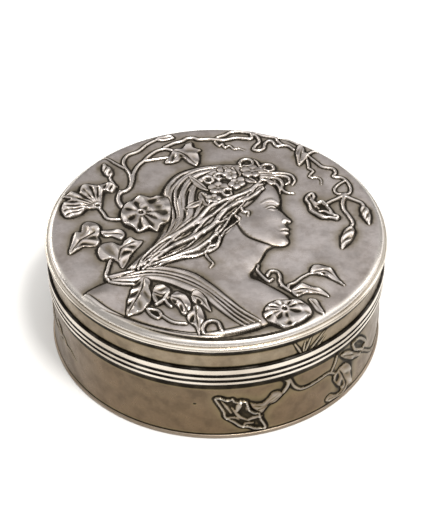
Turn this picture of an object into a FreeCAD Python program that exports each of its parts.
"""Round silver box with a lift-off lid, as a parametric document of eight turned pieces.

The box stands on the XY plane with its axis on Z. The front, where the lid's picture reads upright, faces -Y.
Every piece is a body of revolution: a sketched half section in the XZ plane, turned once about Z. The lid's
plate also carries the main forms of its picture, raised out of it.
"""

import FreeCAD, Part
import collections
import math
import os

import Sketcher

# Driving dimensions, in millimetres: name, value and what it measures.
DRIVING_SIZES = [
    ("wall_radius", 39.2, "outside radius of the base wall and of the lid wall"),
    ("wall_gauge", 0.7, "sheet thickness of both walls"),
    ("base_height", 19.8, "underside of the box to the seam between base and lid"),
    ("floor_gauge", 1.0, "sheet thickness of the floor"),
    ("floor_lip", 0.4, "how far the floor's edge stands proud of the base wall"),
    ("floor_round", 0.3, "bow of the floor's rounded edge"),
    ("lower_reed", 1.45, "height of the lower reed at the mouth of the base"),
    ("upper_reed", 1.5, "height of the upper reed at the mouth of the base"),
    ("base_reed_proud", 0.35, "bow of the two base reeds"),
    ("lid_reed", 2.25, "height of the reed at the lower edge of the lid"),
    ("lid_reed_proud", 0.4, "bow of the lid reed"),
    ("wire_backing", 0.25, "flat back left under every reed and bead"),
    ("collar_depth", 6.0, "how far the collar reaches down inside the base"),
    ("collar_rise", 4.0, "how far the collar stands up out of the base"),
    ("collar_gauge", 0.6, "sheet thickness of the collar"),
    ("collar_clearance", 0.15, "radial gap between the collar and the lid wall"),
    ("lid_wall_height", 7.7, "seam to the underside of the lid's top plate"),
    ("edge_bead", 1.4, "height of the bead round the upper edge of the lid"),
    ("edge_bead_proud", 0.55, "bow of the lid's upper bead"),
    ("plate_gauge", 0.7, "sheet thickness of the lid's top plate"),
    ("border_width", 1.5, "width of the rounded border round the top plate"),
    ("border_rise", 1.4, "rise of that border from its rim to the field"),
    ("border_round", 0.4, "bow of the border between rim and field"),
    ("dome_rise", 0.4, "rise of the field from the border to its middle"),
    ("plant_relief", 0.3, "rise of flowers and leaves above the middle of the field"),
    ("figure_relief", 0.45, "rise of the figure above the middle of the field"),
    ("hair_relief", 0.7, "rise of the hair, and of the ivy on the figure, above the middle of the field"),
]

# The picture on the lid, in hundredths of the field's radius to the right and up. An outline runs smoothly
# through its points. The figure's begins under the chin and goes down the breast, along the field's edge and
# back over the shoulder, the hair and a plain profile.
FIGURE = [
    (42, -19), (31, -23), (21, -45), (34, -57), (44, -68), (37, -84), (20, -92), (0, -95), (-49, -82),
    (-66, -70), (-75, -60), (-66, -52), (-52, -41), (-39, -19), (-29, 5), (-34, 32), (-22, 52), (0, 61),
    (28, 60), (35, 52), (41, 30), (40, 19), (46, 7), (43, 1), (45, -4), (43, -9), (44, -15),
]

# The hair, from the brow down its front edge to the shoulder and back up behind the head.
HAIR = [
    (32, 50), (31, 41), (27, 31), (20, 20), (10, 9), (5, -2), (1, -14), (-9, -25), (-23, -34), (-41, -39),
    (-49, -39), (-37, -20), (-27, 5), (-32, 31), (-21, 49), (0, 58), (26, 57),
]

# Open flowers: middle and radius.
FLOWERS = [((-44, 12), 16), ((-79, 27), 13), ((66, 18), 11), ((40, -76), 11)]

# Pointed leaves and buds round the figure: root, tip and half width.
LEAVES = [
    ((-35, 77), (-12, 61), 8), ((-77, 4), (-88, -27), 7), ((-68, -28), (-46, -15), 9),
    ((56, -43), (77, -54), 5), ((45, -55), (68, -63), 4), ((84, 1), (77, -21), 4), ((53, 79), (53, 62), 4),
]

# Leaves of ivy on the figure.
IVY = [((-43, -50), (-51, -79), 7), ((-37, -71), (-23, -59), 7), ((-11, -72), (-9, -92), 5)]

CONVEX = 1
CONCAVE = -1


class Size:
    """A length that carries its spreadsheet expression together with its present value."""

    def __init__(self, text, value):
        self.text = text
        self.value = value

    def __add__(self, other):
        return Size(f"({self.text} + {other.text})", self.value + other.value)

    def __sub__(self, other):
        return Size(f"({self.text} - {other.text})", self.value - other.value)


class Sizes:
    """The spreadsheet of driving dimensions: each size is an attribute with the cell's alias as its name."""

    def __init__(self, doc):
        self.sheet = doc.addObject("Spreadsheet::Sheet", "Sizes")
        for row, (alias, value, meaning) in enumerate(DRIVING_SIZES, start=1):
            self.sheet.set(f"A{row}", meaning)
            self.sheet.set(f"B{row}", str(value))
            self.sheet.setAlias(f"B{row}", alias)
        doc.recompute()

    def __getattr__(self, alias):
        return Size(f"Sizes.{alias}", float(self.sheet.get(alias)))


# One corner of a half section. bow is None where a straight run leads to the next corner, and otherwise
# the (radius, CONVEX or CONCAVE) of the arc that does.
Corner = collections.namedtuple("Corner", "r z bow", defaults=(None,))


def arc_radius(half_chord, rise):
    """Radius of the arc that rises by this much over half its chord."""
    text = f"(({half_chord.text})^2 + ({rise.text})^2) / (2 * ({rise.text}))"
    return Size(text, (half_chord.value**2 + rise.value**2) / (2 * rise.value))


def bowed(chord, bow, sense=CONVEX):
    """The arc over a straight chord of this length, standing out by bow at its middle."""
    half = Size(f"({chord.text} / 2)", chord.value / 2)
    return arc_radius(half, bow), sense


def run_geometry(start, end):
    """The straight run or arc between two corners, and which of its ends lies at the first corner."""
    a = FreeCAD.Vector(start.r.value, start.z.value, 0)
    b = FreeCAD.Vector(end.r.value, end.z.value, 0)
    if start.bow is None:
        return Part.LineSegment(a, b), 1
    radius, sense = start.bow
    along = (b - a).normalize()
    to_left = FreeCAD.Vector(-along.y, along.x, 0)
    reach = math.sqrt(radius.value**2 - ((b - a).Length / 2) ** 2)
    centre = (a + b) * 0.5 + to_left * (sense * reach)
    first, last = (a, b) if sense == CONVEX else (b, a)
    first_angle = math.atan2(first.y - centre.y, first.x - centre.x)
    last_angle = math.atan2(last.y - centre.y, last.x - centre.x)
    circle = Part.Circle(centre, FreeCAD.Vector(0, 0, 1), radius.value)
    if last_angle < first_angle:
        last_angle += 2 * math.pi
    return Part.ArcOfCircle(circle, first_angle, last_angle), 1 if sense == CONVEX else 2


def bind(sketch, constraint, name, length):
    """Adds a dimension to the sketch and ties it to its spreadsheet expression."""
    index = sketch.addConstraint(constraint)
    sketch.renameConstraint(index, name)
    sketch.setExpression(f"Constraints.{name}", length.text)


def draw_section(sketch, corners):
    """Draws a closed half section whose corners and arcs are all dimensioned from the sheet."""
    starts = []
    for number, corner in enumerate(corners):
        following = corners[(number + 1) % len(corners)]
        geometry, start = run_geometry(corner, following)
        starts.append((sketch.addGeometry(geometry), start))
    for number, corner in enumerate(corners):
        run, start = starts[number]
        next_run, next_start = starts[(number + 1) % len(corners)]
        sketch.addConstraint(Sketcher.Constraint("Coincident", run, 3 - start, next_run, next_start))
        if corner.r.value == 0:
            sketch.addConstraint(Sketcher.Constraint("PointOnObject", run, start, -2))
        else:
            across = Sketcher.Constraint("DistanceX", -1, 1, run, start, corner.r.value)
            bind(sketch, across, f"radius_{number}", corner.r)
        if corner.z.value == 0:
            sketch.addConstraint(Sketcher.Constraint("PointOnObject", run, start, -1))
        else:
            up = Sketcher.Constraint("DistanceY", -1, 1, run, start, corner.z.value)
            bind(sketch, up, f"height_{number}", corner.z)
        if corner.bow is not None:
            radius = corner.bow[0]
            bind(sketch, Sketcher.Constraint("Radius", run, radius.value), f"bow_{number}", radius)


def turned_piece(doc, label, corners):
    """A body turned about Z from a half section, listed anticlockwise with the metal on the left."""
    body = doc.addObject("PartDesign::Body", label)
    body.Label = label
    plane = next(o for o in body.Origin.OriginFeatures if o.Role == "XZ_Plane")
    sketch = body.newObject("Sketcher::SketchObject", f"{label}_section")
    sketch.AttachmentSupport = (plane, [""])
    sketch.MapMode = "FlatFace"
    draw_section(sketch, corners)
    turning = body.newObject("PartDesign::Revolution", f"{label}_turning")
    turning.Profile = sketch
    turning.ReferenceAxis = (sketch, ["V_Axis"])
    turning.Angle = 360
    body.Tip = turning
    return body


def base_floor(doc, s):
    """The flat disc that closes the box below, its rounded edge a fine line proud of the wall."""
    zero = Size("0", 0.0)
    chord_radius = s.wall_radius + s.floor_lip - s.floor_round
    corners = [
        Corner(zero, zero),
        Corner(chord_radius, zero, bowed(s.floor_gauge, s.floor_round)),
        Corner(chord_radius, s.floor_gauge),
        Corner(zero, s.floor_gauge),
    ]
    return turned_piece(doc, "base_floor", corners)


def base_wall(doc, s):
    """The upright wall of the base, from the floor to the seam."""
    inside = s.wall_radius - s.wall_gauge
    corners = [
        Corner(inside, s.floor_gauge),
        Corner(s.wall_radius, s.floor_gauge),
        Corner(s.wall_radius, s.base_height),
        Corner(inside, s.base_height),
    ]
    return turned_piece(doc, "base_wall", corners)


def base_rim_moulding(doc, s):
    """Two reeds drawn on one wire, soldered round the mouth of the base with its top at the seam."""
    backing = s.wall_radius + s.wire_backing
    between = s.base_height - s.upper_reed
    bottom = between - s.lower_reed
    corners = [
        Corner(s.wall_radius, bottom),
        Corner(backing, bottom, bowed(s.lower_reed, s.base_reed_proud)),
        Corner(backing, between, bowed(s.upper_reed, s.base_reed_proud)),
        Corner(backing, s.base_height),
        Corner(s.wall_radius, s.base_height),
    ]
    return turned_piece(doc, "base_rim_moulding", corners)


def collar(doc, s):
    """The ring inside the mouth of the base, drawn in a little above the seam so that the lid slides over it."""
    seated = s.wall_radius - s.wall_gauge
    free = seated - s.collar_clearance
    inside = seated - s.collar_gauge
    corners = [
        Corner(inside, s.base_height - s.collar_depth),
        Corner(seated, s.base_height - s.collar_depth),
        Corner(seated, s.base_height - s.collar_clearance),
        Corner(free, s.base_height),
        Corner(free, s.base_height + s.collar_rise),
        Corner(inside, s.base_height + s.collar_rise),
    ]
    return turned_piece(doc, "collar", corners)


def lid_wall(doc, s):
    """The upright wall of the lid, from the seam to the underside of the top plate."""
    inside = s.wall_radius - s.wall_gauge
    top = s.base_height + s.lid_wall_height
    corners = [
        Corner(inside, s.base_height),
        Corner(s.wall_radius, s.base_height),
        Corner(s.wall_radius, top),
        Corner(inside, top),
    ]
    return turned_piece(doc, "lid_wall", corners)


def lid_rim_moulding(doc, s):
    """The single broad reed round the lower edge of the lid, with its flat underside at the seam."""
    backing = s.wall_radius + s.wire_backing
    top = s.base_height + s.lid_reed
    corners = [
        Corner(s.wall_radius, s.base_height),
        Corner(backing, s.base_height, bowed(s.lid_reed, s.lid_reed_proud)),
        Corner(backing, top),
        Corner(s.wall_radius, top),
    ]
    return turned_piece(doc, "lid_rim_moulding", corners)


def lid_edge_moulding(doc, s):
    """The bead round the upper edge of the lid. It covers the joint between wall and top plate."""
    backing = s.wall_radius + s.wire_backing
    top = s.base_height + s.lid_wall_height + s.plate_gauge
    bottom = top - s.edge_bead
    corners = [
        Corner(s.wall_radius, bottom),
        Corner(backing, bottom, bowed(s.edge_bead, s.edge_bead_proud)),
        Corner(backing, top),
        Corner(s.wall_radius, top),
    ]
    return turned_piece(doc, "lid_edge_moulding", corners)


def border_arc(s):
    """The arc of the border, whose chord runs slantwise from the rim to the field."""
    run, rise, bow = s.border_width, s.border_rise, s.border_round
    half_chord = Size(
        f"(sqrt(({run.text})^2 + ({rise.text})^2) / 2)",
        math.hypot(run.value, rise.value) / 2,
    )
    return arc_radius(half_chord, bow)


def smooth_outline(points, scale):
    """A closed smooth line through points of the picture."""
    places = [FreeCAD.Vector(across, up, 0) * scale for across, up in points]
    line = Part.BSplineCurve()
    line.interpolate(Points=places, PeriodicFlag=True)
    return [line]


def flower_outline(middle, radius, scale):
    """A round flower."""
    return [Part.Circle(FreeCAD.Vector(*middle, 0) * scale, FreeCAD.Vector(0, 0, 1), radius * scale)]


def leaf_outline(root, tip, half_width, scale):
    """A pointed leaf between two arcs."""
    root = FreeCAD.Vector(*root, 0) * scale
    tip = FreeCAD.Vector(*tip, 0) * scale
    along = (tip - root).normalize()
    side = FreeCAD.Vector(-along.y, along.x, 0) * (half_width * scale)
    middle = (root + tip) * 0.5
    return [Part.Arc(root, middle + side, tip), Part.Arc(tip, middle - side, root)]


def raise_relief(body, label, bed, crown, outlines):
    """Raises closed outlines from a bed inside the plate's metal up to one level."""
    plane = next(o for o in body.Origin.OriginFeatures if o.Role == "XY_Plane")
    sketch = body.newObject("Sketcher::SketchObject", f"{label}_outline")
    sketch.AttachmentSupport = (plane, [""])
    sketch.MapMode = "FlatFace"
    sketch.AttachmentOffset = FreeCAD.Placement(FreeCAD.Vector(0, 0, bed.value), FreeCAD.Rotation())
    sketch.setExpression("AttachmentOffset.Base.z", bed.text)
    for outline in outlines:
        for run in outline:
            sketch.addGeometry(run)
    raising = body.newObject("PartDesign::Pad", label)
    raising.Profile = sketch
    raising.setExpression("Length", (crown - bed).text)
    body.Tip = raising


def lid_top(doc, s):
    """The struck top plate: a shallow domed field with the picture's main forms, and a rounded border."""
    axis = Size("0", 0.0)
    field_radius = s.wall_radius - s.border_width
    rim_under = s.base_height + s.lid_wall_height
    field_under = rim_under + s.border_rise
    middle_under = field_under + s.dome_rise
    dome = arc_radius(field_radius, s.dome_rise)
    border = border_arc(s)
    corners = [
        Corner(axis, middle_under, (dome, CONCAVE)),
        Corner(field_radius, field_under),
        Corner(s.wall_radius - s.wall_gauge, rim_under),
        Corner(s.wall_radius, rim_under),
        Corner(s.wall_radius, rim_under + s.plate_gauge, (border, CONVEX)),
        Corner(field_radius, field_under + s.plate_gauge, (dome, CONVEX)),
        Corner(axis, middle_under + s.plate_gauge),
    ]
    body = turned_piece(doc, "lid_top", corners)
    scale = field_radius.value / 100
    bed = middle_under + Size(f"({s.plate_gauge.text} / 4)", s.plate_gauge.value / 4)
    middle = middle_under + s.plate_gauge
    plants = [flower_outline(*flower, scale) for flower in FLOWERS]
    plants += [leaf_outline(*leaf, scale) for leaf in LEAVES]
    raise_relief(body, "plants", bed, middle + s.plant_relief, plants)
    raise_relief(body, "figure", bed, middle + s.figure_relief, [smooth_outline(FIGURE, scale)])
    over_figure = [smooth_outline(HAIR, scale)]
    over_figure += [leaf_outline(*leaf, scale) for leaf in IVY]
    raise_relief(body, "hair_and_ivy", bed, middle + s.hair_relief, over_figure)
    return body


PIECES = [
    base_floor,
    base_wall,
    base_rim_moulding,
    collar,
    lid_wall,
    lid_rim_moulding,
    lid_edge_moulding,
    lid_top,
]


def check_document(doc, bodies):
    """Stops the build if any feature failed, or a piece is not one valid solid."""
    for item in doc.Objects:
        if "Invalid" in item.State or "Error" in item.State:
            raise RuntimeError(f"{item.Label} failed: {item.State}")
    for body in bodies:
        shape = body.Shape
        if shape.isNull() or not shape.isValid() or len(shape.Solids) != 1:
            raise RuntimeError(f"{body.Label} is not one valid solid")


def main():
    doc = FreeCAD.newDocument("round_box")
    sizes = Sizes(doc)
    bodies = [make(doc, sizes) for make in PIECES]
    doc.recompute()
    check_document(doc, bodies)
    os.makedirs("parts", exist_ok=True)
    for body in bodies:
        body.Shape.exportStep(os.path.join("parts", f"{body.Label}.step"))
        print(f"{body.Label}: {body.Shape.Volume:.1f} mm3")


main()
